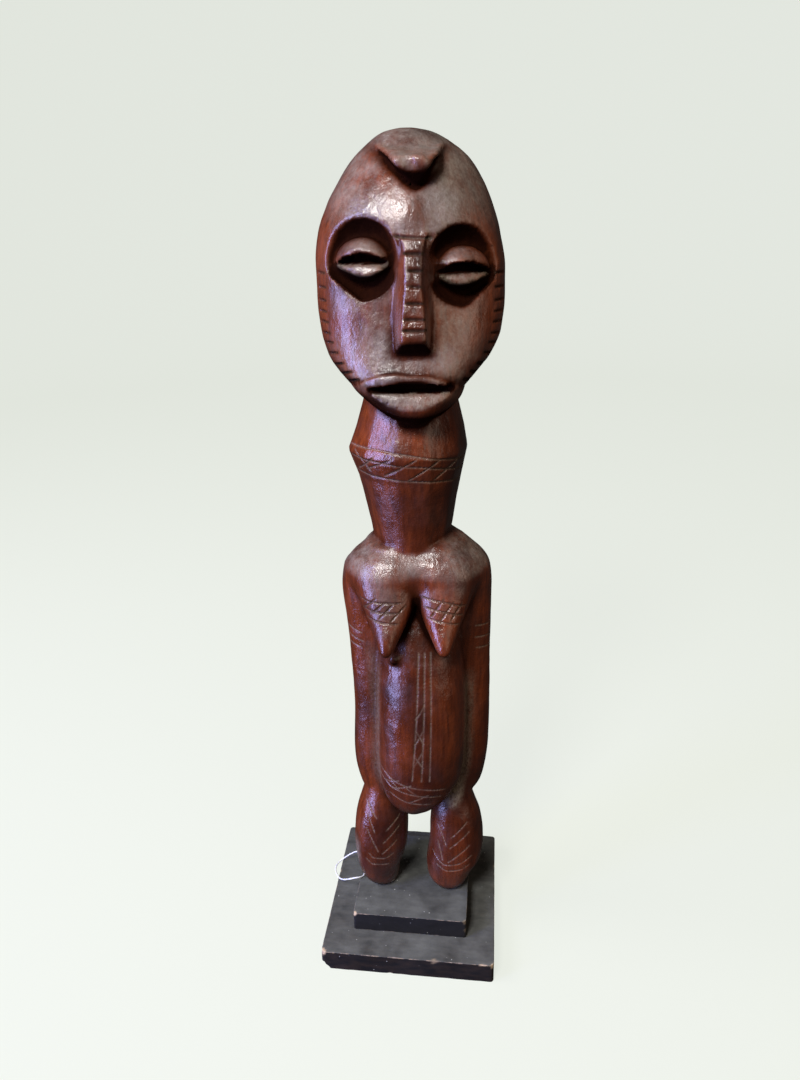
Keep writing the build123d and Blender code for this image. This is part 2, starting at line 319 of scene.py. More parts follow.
# Each eye, with x across the figure: its bowl and ball (centre, radii, turn), the slit between
# the lids (x, z, half width, up, down) and the bowl's straight low edge (x, z, slope)
EYES = {
    -1: {
        "bowl": ((-25.3, -38.6, 461.7), (22.0, 14.6, 21.2), -19.4),
        "ball": ((-21.2, -26.4, 458.6), (15.8, 12.8, 12.9), -17.0),
        "slit": (-22.6, 458.8, 13.4, 4.6, 5.6),
        "low_edge": (-43.5, 456.0, 0.74),
    },
    1: {
        "bowl": ((30.3, -38.0, 458.0), (22.0, 14.6, 20.6), 21.0),
        "ball": ((26.5, -26.0, 454.0), (16.0, 12.8, 12.9), 18.0),
        "slit": (28.2, 453.8, 13.8, 4.8, 6.0),
        "low_edge": (48.0, 452.5, 0.78),
    },
}


def eye_socket(p, way):
    """A bowl whose low outer side is cut straight, from the temple down to its lowest point."""
    centre, radii, turn = EYES[way]["bowl"]
    x, z, slope = EYES[way]["low_edge"]
    low_edge = (z - slope * (way * (x - p[0])) - p[2]) / math.hypot(1, slope)
    return smooth_max(ellipsoid(p, centre, radii, turn), low_edge, 0.5)


def eyeball(p, way):
    centre, radii, turn = EYES[way]["ball"]
    return ellipsoid(p, centre, radii, turn)


def eye(p, way):
    """A ball slit between its lids. Below the low lid it is cut back to the bowl."""
    x, z, half_width, _, down = EYES[way]["slit"]
    u = (p[0] - x) / half_width
    rim = z - down * np.maximum(1 - u * u, -1) - 0.6
    front = -37.6 + 0.45 * np.maximum(0, way * p[0] - 20.0)
    under = (rim - 0.42 * (p[1] - front) - p[2]) / 1.08
    ball = smooth_max(eyeball(p, way), under, 0.4)
    return smooth_max(ball, -eye_slit(p, way), 0.3)


def eye_slit(p, way):
    return wedge_slit(p, eyeball(p, way), *EYES[way]["slit"], 9.5)


def nose(p):
    """A long strip with sloping sides that widens to both ends."""
    z = p[2]
    knots = (411.0, 421.0, 432.0, 450.0, 466.0, 473.0, 482.0)
    front = curve(z, knots, (-52.0, -52.5, -50.0, -46.0, -41.4, -38.7, -33.0))
    strip = curve(z, knots, (6.2, 6.2, 5.6, 3.9, 4.6, 7.2, 8.0))
    lean = curve(z, knots, (0.30, 0.30, 0.46, 0.72, 0.60, 0.4, 0.3))
    middle = 2.7 + 0.012 * (z - 447.0)
    level = p[1] - front
    side = (np.abs(p[0] - middle) - strip - lean * level) / np.sqrt(1 + lean**2)
    d = smooth_max(-level, side, 0.8)
    under = plane(p, (0, -52.5, 422.0), (5, -52.5, 422.0), (0, -42.0, 415.0), (0, -45, 440))
    d = smooth_max(d, under, 1.2)
    d = smooth_max(d, z - 475.0, 3.0)
    return smooth_max(d, p[1] + 20.0, 1.0)


def lips(p):
    """The lips are a raised lens that wraps the face, cut by the open mouth."""
    u = (p[0] - 0.8) / 30.5
    bow = np.maximum(1 - u * u, -1)
    flat_bow = np.maximum(1 - np.abs(u) ** 2.6, -1)
    grown = head(p) - 0.3 - 2.1 * np.sqrt(np.clip(bow, 0, 1))
    top = p[2] - 395.0 - 10.4 * flat_bow + hill(p[0], 1.6, 6.0) + 0.07 * (p[0] - 1.6)
    low = 391.5 - 14.5 * bow - p[2]
    outline = smooth_max(top, low, 0.4)
    d = smooth_max(smooth_max(grown, outline, 0.6), p[1] + 14.0, 1.0)
    mouth = wedge_slit(p, grown, 1.2, 397.2, 23.4, 3.6, 9.8, 12.0)
    return d, mouth


def tuft(p):
    """A beak that comes out of the crown and ends in a blunt lip over the forehead."""
    left, right = (-16.0, -14.0, 513.3), (20.0, -14.0, 513.6)
    lip_left, lip_right = (-5.2, -39.0, 503.5), (12.2, -39.0, 503.5)
    low_left, low_right = (3.4, -31.0, 494.0), (5.6, -31.0, 494.0)
    inside = (3.5, -24.0, 506.0)
    top = plane(p, left, right, (3.5, -39.5, 506.6), inside)
    front = plane(p, (-5.0, -39.6, 506.5), (12.0, -39.6, 506.5), (3.5, -39.0, 500.0), inside)
    under = plane(p, (-5.0, -39.0, 501.0), (12.0, -39.0, 501.0), (4.5, -30.5, 493.6), inside)
    side_left = plane(p, left, lip_left, low_left, inside)
    side_right = plane(p, right, lip_right, low_right, inside)
    hewn = 0.25 * np.sin(0.62 * p[0] + 0.8) + 0.2 * np.sin(0.9 * p[2] + 0.4 * p[0])
    d = smooth_max(smooth_max(side_left, side_right, 1.5), top, 2.5) + hewn
    d = smooth_max(smooth_max(d, front + 2.0 * hewn, 1.6), under, 1.0)
    return smooth_max(d, p[1] + 4.0, 2.0)


def breast(p, way):
    lean = 2.2 * rise(p[2], 262.0, -26.0) if way < 0 else 0.0
    own = (way * (p[0] - BREAST_MIDDLE[way]) - lean, p[1], p[2])
    return mass(own, BREAST, 1.5)


def leg(p, way):
    x, y = LEG_PLACES[way]
    own = (way * (p[0] - x), p[1] - y, p[2])
    return mass(own, LEGS[way], 0.8)


# The grooves beside the belly, their radii, and the height where dust starts to lie in each
VALLEYS = [
    [(-31.5, -19.5, 257), (-26.8, -18.5, 215), (-25.4, -18.5, 180),
     (-26, -18.5, 150), (-24, -18, 128), (-19, -20, 114)],
    [(37.4, -20.5, 262), (37.8, -18.5, 215), (37.8, -18.5, 180),
     (36.8, -18.5, 150), (33.4, -18, 126), (26, -20, 112)],
]
VALLEY_RADII = (2, 2.8, 3, 3, 2.4, 1)
DUST_TOPS = (236, 214)
# A fine gully under both lower edges of the tuft
GULLY = [
    (-17, -12.5, 513.6),
    (-7.6, -25, 503.4),
    (4.5, -31.5, 493.6),
    (16.8, -25, 503.6),
    (21, -12.5, 513.8),
]
GULLY_RADII = (0.3, 0.5, 0.9, 0.5, 0.3)


def body(p):
    """Trunk, arms and belly, with the knob on the belly."""
    d = mass(p, BODY, 2.0)
    d = smooth_min(d, mass(p, BELLY, 2.0), 1.5)
    d = smooth_min(d, ellipsoid(p, (-11.4, -27.6, 228.5), (3.4, 4.0, 3.4)), 3.0)
    # Deep grooves set the arms off from the belly, and shallower ones from the back
    for line in VALLEYS:
        d = smooth_max(d, -rod(p, line, VALLEY_RADII), 2.0)
    for x in (-27.0, 37.0):
        line = [(x, 21.0, 262.0), (x, 19.5, 200.0), (x, 21.0, 140.0)]
        d = smooth_max(d, -rod(p, line, (3.0, 5.0, 3.5)), 3.0)
    spine = [(4.5, 22.5, 285.0), (5.5, 22.0, 200.0), (5.0, 21.0, 112.0)]
    return smooth_max(d, -rod(p, spine, (4.0, 5.0, 5.0)), 6.0)


def figure_field(p):
    """The whole carving, bored for its pins and flat below."""
    d = body(p)
    # The breasts flow out of the chest at the top and stand clear of it lower down
    blend = np.interp(p[2], (240.0, 258.0, 272.0, 290.0), (0.8, 1.2, 5.0, 9.0))
    d = smooth_min(d, smooth_min(breast(p, -1), breast(p, 1), blend), blend)
    for way in (-1, 1):
        d = smooth_min(d, leg(p, way), 1.2)
    d = smooth_min(d, neck(p), 0.8)
    face = head(p)
    for way in (-1, 1):
        face = smooth_max(face, -eye_socket(p, way), 0.5)
        face = smooth_min(face, eye(p, way), 1.8)
    face = smooth_min(face, nose(p), 0.7)
    lip, mouth = lips(p)
    face = smooth_max(smooth_min(face, lip, 0.4), -mouth, 0.3)
    face = smooth_max(face, -rod(p, GULLY, GULLY_RADII), 4.0)
    face = smooth_min(face, tuft(p), 0.5)
    d = smooth_min(d, face, 0.8)
    for x, y in LEG_PLACES.values():
        socket = smooth_max(np.hypot(p[0] - x, p[1] - y) - SOCKET_RADIUS, p[2] - SOCKET_TOP, 0.1)
        d = smooth_max(d, -socket, 0.1)
    return smooth_max(d, PLINTH_TOP - p[2], 0.05)


# ---- meshing


def field_mesh(field, low, high, voxel):
    """Points and quads along the field's zero surface."""
    counts = [int(math.ceil((high[k] - low[k]) / voxel)) + 1 for k in range(3)]
    axes = [low[k] + voxel * np.arange(counts[k]) for k in range(3)]
    values = np.empty(counts, np.float32)
    slab = 24
    for start in range(0, counts[2], slab):
        grid = np.meshgrid(axes[0], axes[1], axes[2][start : start + slab], indexing="ij")
        values[:, :, start : start + slab] = field(grid)
    band = 3 * voxel
    vdb = openvdb.FloatGrid(band)
    vdb.copyFromArray(np.clip(values, -band, band))
    points, quads = vdb.convertToQuads(0.0)
    points = points.astype(float) * voxel + np.array(low)
    return points, quads[:, ::-1]


def gradient(field, points, step=0.15):
    """The field's value and slope at each point."""
    p = points.T
    here = field(p)
    slopes = []
    for k in range(3):
        moved = p.copy()
        moved[k] += step
        slopes.append((field(moved) - here) / step)
    return here, np.array(slopes).T


def settle(field, points, rounds, most):
    """Moves points onto the field's zero surface and returns their normals too."""
    for _ in range(rounds):
        value, slope = gradient(field, points)
        length = np.linalg.norm(slope, axis=1)[:, None] + 1e-9
        move = np.clip(value[:, None] / length, -most, most)
        points = points - move * slope / length
    return points, slope / length


# ---- incised lines

# Each line is its points (x, z) in order, seen from the front
NECK_LINES = [
    [(-34.5, 359.5), (-22, 360.5), (-8.5, 359.5), (4, 357.5), (18, 354.5), (31.5, 351.5)],
    [(-33, 354), (-19, 353.5), (-6, 352), (6.5, 351), (18, 348.5), (30, 345.5)],
    [(-30, 344.5), (-18, 344), (-6, 343), (6.5, 342), (18, 340.5), (28.5, 338.5)],
]
NECK_SLANTS = [
    [(-24, 348.5), (-10, 356)],
    [(-14, 345.5), (4, 356)],
    [(-1, 343), (17, 354.5)],
    [(13.5, 342.5), (27, 352)],
    [(-31, 357.5), (-22, 347.5)],
    [(-29, 346.5), (-20, 356.5)],
]
CHEST_LINES = [
    [(-31, 268.5), (-18, 268.5), (-5, 268)],
    [(-29, 263), (-18, 262.8), (-7, 262.2)],
    [(-26.5, 258), (-17, 257.2), (-8, 256.2)],
    [(7, 270.5), (20, 268.5), (32.5, 264.5)],
    [(8, 265), (20, 262.8), (30.5, 259.5)],
    [(9.5, 259), (20, 257), (28, 254.8)],
    [(-28, 264), (-21, 271)],
    [(-24, 261.5), (-15, 269.5)],
    [(-19.5, 259), (-10, 268.5)],
    [(-13, 257.5), (-3.5, 266)],
    [(11, 259), (19, 270.5)],
    [(17, 258), (25, 268.5)],
    [(23, 257.5), (30, 267)],
]
ARM_LINES = [
    [(-42, 242.5), (-31.5, 239)],
    [(-42, 236.5), (-30.5, 232.5)],
    [(-41.5, 230.5), (-32, 228)],
    [(40, 243.5), (49, 242.5)],
    [(39.5, 235), (49, 234)],
    [(40.5, 227), (49, 226)],
]
BELLY_LINES = [
    [(4, 233), (2.2, 190), (-1, 143.5)],
    [(7.7, 233), (6.8, 190), (5, 143.5)],
    [(11.4, 233), (11.2, 190), (10.2, 143.5)],
    [(1.8, 190), (7, 199)],
    [(1.8, 181.5), (6.6, 172)],
    [(1.2, 171.5), (6.4, 182)],
    [(0.4, 163), (6, 154)],
    [(0.2, 155), (5.8, 166)],
]
BAND_LINES = [
    [(-21.5, 146), (-11, 140.5), (1, 137.5), (20.5, 134.5)],
    [(-22, 140), (-12, 134.5), (0, 131.5), (18, 128.5)],
    [(-15.5, 129), (-4, 124.5), (11, 122.5)],
    [(-19, 138), (-10, 142)],
    [(-14, 134.5), (-2, 139.5)],
    [(-17.5, 144.5), (-9, 133.5)],
    [(-8, 140), (3, 130.5)],
    [(-3, 124.5), (9, 131.5)],
]
LEG_LINES = [
    [(-32.5, 106), (-26, 95.5)],
    [(-32, 97), (-27.5, 84)],
    [(-33, 86), (-25.5, 68)],
    [(-19.5, 85.5), (-10, 96)],
    [(-21.5, 75.5), (-10.5, 87.5)],
    [(-22.5, 66), (-12.5, 76)],
    [(-32, 65.5), (-29, 62), (-22, 61.5), (-15, 65)],
    [(-34, 60), (-29.5, 56), (-18.5, 56)],
    [(16.5, 78), (19.5, 63)],
    [(17, 91), (22, 76)],
    [(25.5, 83.5), (36, 95)],
    [(24.5, 74.5), (37.5, 87.5)],
    [(23.5, 62), (38, 76.5)],
    [(13, 66), (21, 59), (30, 60.5), (39.5, 67)],
    [(16, 57.5), (22, 54), (31, 55), (38, 59)],
]
# Nose notches: height, and where each starts and ends across
NOSE_NOTCHES = (
    (463.3, -1.6, 7.6),
    (455.5, 0.2, 7.4),
    (448, 0.6, 6.6),
    (440.3, -0.6, 7.8),
    (432.8, -1.8, 8.4),
    (427.7, -2.6, 9.2),
)
CHEEK_NOTCHES = (454, 447, 440.5, 435, 429.5, 423.5, 418.5, 413, 407.5, 403, 399)


def incised_lines():
    """Each line: its points, depth, half width, how pale its cut is, and its side, -1 for the front."""
    lines = [(points, 0.8, 0.52, 0.5, -1) for points in NECK_LINES + NECK_SLANTS]
    lines += [(points, 0.7, 0.55, 0.75, 1) for points in NECK_LINES]
    lines += [(points, 0.9, 0.54, 0.28, -1) for points in CHEST_LINES]
    lines += [(points, 0.4, 0.50, 0.6, -1) for points in ARM_LINES + BELLY_LINES]
    lines += [(points, 0.5, 0.46, 0.65, -1) for points in BAND_LINES]
    lines += [(points, 0.6, 0.46, 0.65, -1) for points in LEG_LINES]
    for level, start, end in NOSE_NOTCHES:
        notch = [(start, level + 0.2), ((start + end) / 2, level), (end, level - 0.1)]
        lines.append((notch, 1.5, 0.75, 0.1, -1))
    lines.append(([(-6.5, 471.4), (3.0, 470.6), (12.5, 470.2)], 1.1, 0.7, 0.3, -1))
    knots = [row[0] for row in HEAD]
    for level in CHEEK_NOTCHES:
        half = float(curve(level, knots, [row[2] for row in HEAD]))
        slant = 0.09 * max(0.0, 432.0 - level)
        for way in (-1, 1):
            z = level - (1.0 if way > 0 else 0.0)
            notch = [(1.3 + way * (half - 0.6), z), (1.3 + way * (half - 6.8), z + slant)]
            lines.append((notch, 1.3, 0.7, 0.1, -1))
    return lines


def stroke_points(field):
    """Points along the incised lines, on the surface, and the depth, half width and paleness at each."""
    samples, looks = [], []
    for points, deep, wide, pale, way in incised_lines():
        points = np.array(points)
        run = np.concatenate([[0], np.cumsum(np.linalg.norm(np.diff(points, axis=0), axis=1))])
        along = np.linspace(0, run[-1], max(3, int(run[-1] / 0.5)))
        through = curve if len(points) > 2 else np.interp
        x, z = (through(along, run, points[:, k]) for k in (0, 1))
        taper = np.clip(np.minimum(along, run[-1] - along) / 2.2, 0.15, 1)
        levels = way * np.arange(62.0, 0.0, -0.5)
        shape = (len(along), len(levels))
        grid = [np.broadcast_to(q, shape) for q in (x[:, None], levels[None, :], z[:, None])]
        inside = field(grid) < 0
        first = inside.argmax(axis=1)
        good = inside.any(axis=1)
        samples.append(np.stack([x, levels[first], z], axis=1)[good])
        look = [deep * taper, np.full(len(along), wide), np.full(len(along), pale)]
        looks.append(np.stack(look, axis=1)[good])
    return np.concatenate(samples), np.concatenate(looks)


def tree_of(points):
    tree = KDTree(len(points))
    for k, point in enumerate(points):
        tree.insert(point, k)
    tree.balance()
    return tree


def nearest(tree, points, reach):
    """Index and distance of the nearest tree point, or -1 beyond the reach."""
    index = np.full(len(points), -1)
    away = np.full(len(points), 1e9)
    for k, point in enumerate(points):
        _, found, distance = tree.find(point)
        if distance < reach:
            index[k], away[k] = found, distance
    return index, away


def refine(bm, wanted):
    """Cuts every face that touches a wanted vertex into four."""
    edges = {
        edge
        for vertex, want in zip(bm.verts, wanted)
        if want
        for face in vertex.link_faces
        for edge in face.edges
    }
    bmesh.ops.subdivide_edges(bm, edges=list(edges), cuts=1, use_grid_fill=True)
    bm.verts.ensure_lookup_table()


def blurred(values, pairs, rounds):
    """Evens out the values at vertices with those of their neighbours."""
    for _ in range(rounds):
        total, count = values.copy(), np.ones(len(values))
        for a, b in ((0, 1), (1, 0)):
            total += np.bincount(pairs[:, a], values[pairs[:, b]], len(values))
            count += np.bincount(pairs[:, a], minlength=len(values))
        values = total / count
    return values


def vertex_array(bm):
    return np.array([vertex.co[:] for vertex in bm.verts])


def carved_mesh(strokes):
    """The field's surface, with finer faces where it turns sharply and along the incised lines."""
    points, quads = field_mesh(figure_field, (-54.0, -58.0, 26.0), (58.0, 46.0, 527.0), VOXEL)
    points, _ = settle(figure_field, points, 3, VOXEL)
    bm = bmesh.new()
    for point in points:
        bm.verts.new(point)
    bm.verts.ensure_lookup_table()
    for quad in quads:
        bm.faces.new([bm.verts[k] for k in quad])
    bm.normal_update()
    sharp = np.zeros(len(points), bool)
    for edge in bm.edges:
        if len(edge.link_faces) == 2 and edge.calc_face_angle(0) > SHARP_ANGLE:
            for vertex in edge.verts:
                at = vertex.co
                bored = min(math.hypot(at.x - x, at.y - y) for x, y in LEG_PLACES.values()) < 4
                sharp[vertex.index] = at.z > SHARP_ABOVE or bored
    refine(bm, sharp)
    for band in ((2.0, 0.9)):
        index, _ = nearest(strokes, vertex_array(bm), band)
        refine(bm, index >= 0)
    return bm


def surface_values(points, normals, groove, paleness):
    """What the wood material reads at each vertex, by name."""
    p = points.T

    def probe(step):
        return figure_field((points + normals * step).T)

    # How closed in the surface is, turned into painted shade in recesses and cut lines (less on the
    # crown), and how sharp (edge) it is at each point
    painted_shade = 0.6 * rise(probe(3.5), 3.5, -3.5) + 0.6 * rise(probe(9.0), 9.0, -9.0)
    painted_shade = painted_shade * np.where(p[2] > 488, 0.55, 1.0)
    painted_shade = np.clip(painted_shade + groove * (1 - paleness), 0, 1.2)
    edge = rise(probe(-1.6), -1.6, 1.6)
    # Dust lies in the grooves beside the belly, and the left leg is scraped pale
    dust_and_painted_light = hill(p[2], 60.0, 13.0, 4) * rise(p[0], -37.5, -3.0)
    for line, amount, top in zip(VALLEYS, (0.55, 1.0), DUST_TOPS):
        near = hill(np.maximum(rod(p, line, (0.5,) * 6), 0), 0, 5.5, 4)
        dust_and_painted_light = np.maximum(dust_and_painted_light, amount * near * rise(p[2], top, -14.0))
    # Painted shade darkens the under sides, and painted shadow makes the eye bowls nearly black below the
    # balls
    painted_shade = np.clip(painted_shade + 1.2 * np.clip(-normals[:, 2] - 0.2, 0, 1), 0, 1.2)
    for way in (-1, 1):
        bowl = eye_socket(p, way)
        inside = np.clip(0.2 - bowl / 1.6, 0, 1) * np.clip(eyeball(p, way) / 0.6 + 0.2, 0, 1)
        below = rise(p[2], EYES[way]["slit"][1] - 3.0, -3.0) * np.clip(1 - bowl, 0, 1)
        painted_shade = np.maximum(painted_shade * (1 - 0.68 * inside), np.maximum(0.22 * inside, 1.05 * below))
    # A grey film of old wax and dust, partly a painted sheen of the light from above: over the face and
    # crown, and on the shoulders
    nose_side = hill(p[0], 2.7, 11.0, 4) * (p[2] < 473) * (p[2] > 412)
    face_film_and_sheen = hill(p[0], 1.6, 36.0, 4) * rise(p[2], 386.0, 12.0) * (p[1] < 6) * (1 - nose_side)
    crown_film_and_sheen = 0.8 * rise(p[2], 470.0, 25.0)
    shoulder_film_and_sheen = rise(normals[:, 2], 0.05, 0.5) * rise(p[2], 255.0, 20.0) * (p[2] < 312)
    film_and_sheen = np.maximum(face_film_and_sheen, np.maximum(crown_film_and_sheen, shoulder_film_and_sheen))
    film_and_sheen = film_and_sheen * np.clip(1 - 1.6 * painted_shade, 0, 1)
    # The sloping low lips of the mouth and eyes are painted pale as lit, a painted light, and get no
    # painted shade
    openings = [(lips(p)[1], 394.6, 0.75)]
    for way in (-1, 1):
        openings.append((eye_slit(p, way), EYES[way]["slit"][1] - 0.6, 0.5))
    for opening, level, pale in openings:
        lit = hill(opening, 0, 0.7) * (np.abs(p[2] - level + 4.4) < 4.6) * (p[1] < -18)
        dust_and_painted_light = np.maximum(dust_and_painted_light, pale * lit)
        painted_shade = painted_shade * (1 - 0.85 * lit)
    return {"groove": groove * paleness, "painted_shade": painted_shade, "edge": edge, "dust_and_painted_light": dust_and_painted_light, "film_and_sheen": film_and_sheen}


def gouge_marks(points):
    """How far each point stands in shallow scallops of the gouge, which are longer up and down."""
    stretch = np.array((1, 1, 0.55))
    seeds = points[np.random.default_rng(7).choice(len(points), 2600, replace=False)]
    _, away = nearest(tree_of(seeds * stretch), points * stretch, 30)
    return 0.10 * np.clip((away / 2.6) ** 2, 0, 1.6) - 0.06


def build_figure():
    """The carving in one mesh: its surface, the gouge marks and the incised lines."""
    samples, looks = stroke_points(figure_field)
    strokes = tree_of(samples)
    bm = carved_mesh(strokes)
    points, normals = settle(figure_field, vertex_array(bm), 2, 0.8)
    index, away = nearest(strokes, points, 2.4)
    deep, wide, pale = looks[np.maximum(index, 0)].T
    groove = np.where(index >= 0, hill(away, 0, wide), 0)
    values = surface_values(points, normals, groove, pale)
    above_foot = rise(points[:, 2], PLINTH_TOP, 4.0)
    shift = gouge_marks(points) * above_foot - groove * deep * above_foot
    for vertex, point in zip(bm.verts, points + normals * shift[:, None]):
        vertex.co = point
    mesh = bpy.data.meshes.new("carved_wood_figure")
    bm.to_mesh(mesh)
    bm.free()
    pairs = np.array([line.vertices[:] for line in mesh.edges])
    # The painted shade is evened out over neighbouring vertices
    values["painted_shade"] = blurred(values["painted_shade"], pairs, 2)
    mesh.transform(Matrix.Rotation(FIGURE_TURN, 4, "Z") @ Matrix.Scale(MM, 4))
    print("figure triangles", sum(len(f.vertices) - 2 for f in mesh.polygons))
    return smooth_object(mesh, values)


# ---- camera, light and floor


def make_camera():
    """The viewer stands in front, a little to the right, and looks down at the figure."""
    yaw, pitch, roll = -0.119079, 0.381478, 0.017628
    ahead = Vector((math.sin(yaw) * math.cos(pitch), math.cos(yaw) * math.cos(pitch), -math.sin(pitch)))
    across = Vector((math.cos(yaw), -math.sin(yaw), 0))
    down = ahead.cross(across)
    right = across * math.cos(roll) + down * math.sin(roll)
    down = down * math.cos(roll) - across * math.sin(roll)
    data = bpy.data.cameras.new("camera")
    data.sensor_width = 36.0
    data.lens = 26.667
    data.clip_start = 0.01
    camera = placed("camera", data)
    turn = Matrix((right, -down, -ahead)).transposed().to_4x4()
    camera.matrix_world = Matrix.Translation((0.04775, -0.45448, 0.47919)) @ turn
    bpy.context.scene.camera = camera


def area_light(name, place, aim, size, power, colour, shines=True):
    """A rectangular light that is aimed at a point; shines says whether it shows in reflections."""
    data = bpy.data.lights.new(name, "AREA")
    data.shape = "RECTANGLE"
    data.size, data.size_y = size
    data.energy = power
    data.color = colour
    light = placed(name, data)
    light.location = place
    light.visible_glossy = shines
    light.rotation_euler = (Vector(aim) - Vector(place)).to_track_quat("-Z", "Y").to_euler()


def make_stage():
    """A pale floor that runs up into a pale round wall. It shows, but throws no light on the object."""
    scene = bpy.context.scene
    scene.world = bpy.data.worlds.new("world")
    scene.world.use_nodes = True
    background = scene.world.node_tree.nodes["Background"]
    background.inputs["Color"].default_value = (1.0, 0.90, 0.82, 1)
    background.inputs["Strength"].default_value = 0.035
    steps, floor_radius, bend, wall = 64, 2.2, 0.8, 2.6
    profile = [(0.02, 0.0), (floor_radius, 0.0)]
    bend_steps = 8
    for k in range(1, bend_steps + 1):
        angle = math.radians(90 * k / bend_steps)
        profile.append((floor_radius + bend * math.sin(angle), bend * (1 - math.cos(angle))))
    profile.append((floor_radius + bend, wall))
    profile.append((0.02, wall + 1.5))
    turns = [2 * math.pi * k / steps for k in range(steps)]
    points = [(r * math.cos(a), r * math.sin(a), z) for r, z in profile for a in turns]
    faces = []
    for ring in range(len(profile) - 1):
        for k in range(steps):
            after = (k + 1) % steps
            low, high = ring * steps, (ring + 1) * steps
            faces.append((low + k, low + after, high + after, high + k))
    faces.append(tuple(range(steps)))
    mesh = bpy.data.meshes.new("pale_stage")
    mesh.from_pydata(points, [], faces)
    stage = smooth_object(mesh, {})
    stage.visible_diffuse = False
    stage.visible_glossy = False
    stage.visible_shadow = False
    material, tree, shader = new_material("pale_stage")
    feed(tree, shader, {
        "Base Color": (0.10, 0.102, 0.097, 1),
        "Roughness": 1.0,
        "Specular IOR Level": 0.0,
        "Emission Color": (0.79, 0.825, 0.755, 1),
        "Emission Strength": 0.93,
    })
    mesh.materials.append(material)
    area_light("window", (-1.15, -0.80, 0.45), (0, 0, 0.30), (0.30, 1.8), 42, (0.42, 0.46, 1.0))
    area_light("left_top", (-1.10, -0.25, 1.15), (0, 0, 0.25), (0.6, 0.6), 15, (1.0, 0.97, 0.92), False)
    area_light("key", (-0.31, -0.93, 1.21), (0, 0, 0.34), (0.36, 0.30), 22, (1.0, 0.98, 0.95))
    area_light("room", (1.1, -1.0, 0.7), (0, 0, 0.25), (0.8, 1.4), 5, (1.0, 0.80, 0.62))
    scene.view_settings.view_transform = "Standard"


# ---- materials


def feed(tree, node, inputs):
    """Sets a node's inputs, by name or number, to values or to other nodes' sockets."""
    for name, value in inputs.items():
        if isinstance(value, bpy.types.NodeSocket):
            tree.links.new(value, node.inputs[name])
        else:
            node.inputs[name].default_value = value


def add(tree, kind, inputs=None, **settings):
    """A new shader node with its settings and inputs."""
    node = tree.nodes.new(kind)
    for name, value in settings.items():
        setattr(node, name, value)
    feed(tree, node, inputs or {})
    return node


def attribute(tree, name):
    return add(tree, "ShaderNodeAttribute", attribute_name=name).outputs["Fac"]


def scaled_place(tree, scale):
    place = add(tree, "ShaderNodeTexCoord").outputs["Object"]
    return add(tree, "ShaderNodeMapping", {"Vector": place, "Scale": scale}).outputs["Vector"]


def noise(tree, place, scale, detail, rough):
    inputs = {"Vector": place, "Scale": scale, "Detail": detail, "Roughness": rough}
    return add(tree, "ShaderNodeTexNoise", inputs).outputs["Fac"]


def ramp(tree, value, low, high, to_low=0.0, to_high=1.0):
    inputs = {"Value": value, "From Min": low, "From Max": high, "To Min": to_low, "To Max": to_high}
    return add(tree, "ShaderNodeMapRange", inputs).outputs["Result"]


def math_of(tree, operation, a, b, clamp=False):
    return add(tree, "ShaderNodeMath", {0: a, 1: b}, operation=operation, use_clamp=clamp).outputs[0]


def times(tree, a, b, clamp=False):
    return math_of(tree, "MULTIPLY", a, b, clamp)


def plus(tree, a, b, clamp=False):
    return math_of(tree, "ADD", a, b, clamp)


def facing_up(tree):
    """1 where the surface faces straight up, 0 where it is upright."""
    normal = add(tree, "ShaderNodeNewGeometry").outputs["Normal"]
    return add(tree, "ShaderNodeSeparateXYZ", {"Vector": normal}).outputs["Z"]


def bump(tree, height, strength, distance):
    inputs = {"Height": height, "Strength": strength, "Distance": distance}
    return add(tree, "ShaderNodeBump", inputs).outputs["Normal"]


def blend(tree, amount, first, second):
    """Mixes two colours."""
    node = add(tree, "ShaderNodeMix", data_type="RGBA")
    sockets = {socket.identifier: number for number, socket in enumerate(node.inputs)}
    names = ("Factor_Float", "A_Color", "B_Color")
    feed(tree, node, {sockets[name]: value for name, value in zip(names, (amount, first, second))})
    return next(socket for socket in node.outputs if socket.identifier == "Result_Color")


def new_material(name):
    material = bpy.data.materials.new(name)
    material.use_nodes = True
    return material, material.node_tree, material.node_tree.nodes["Principled BSDF"]


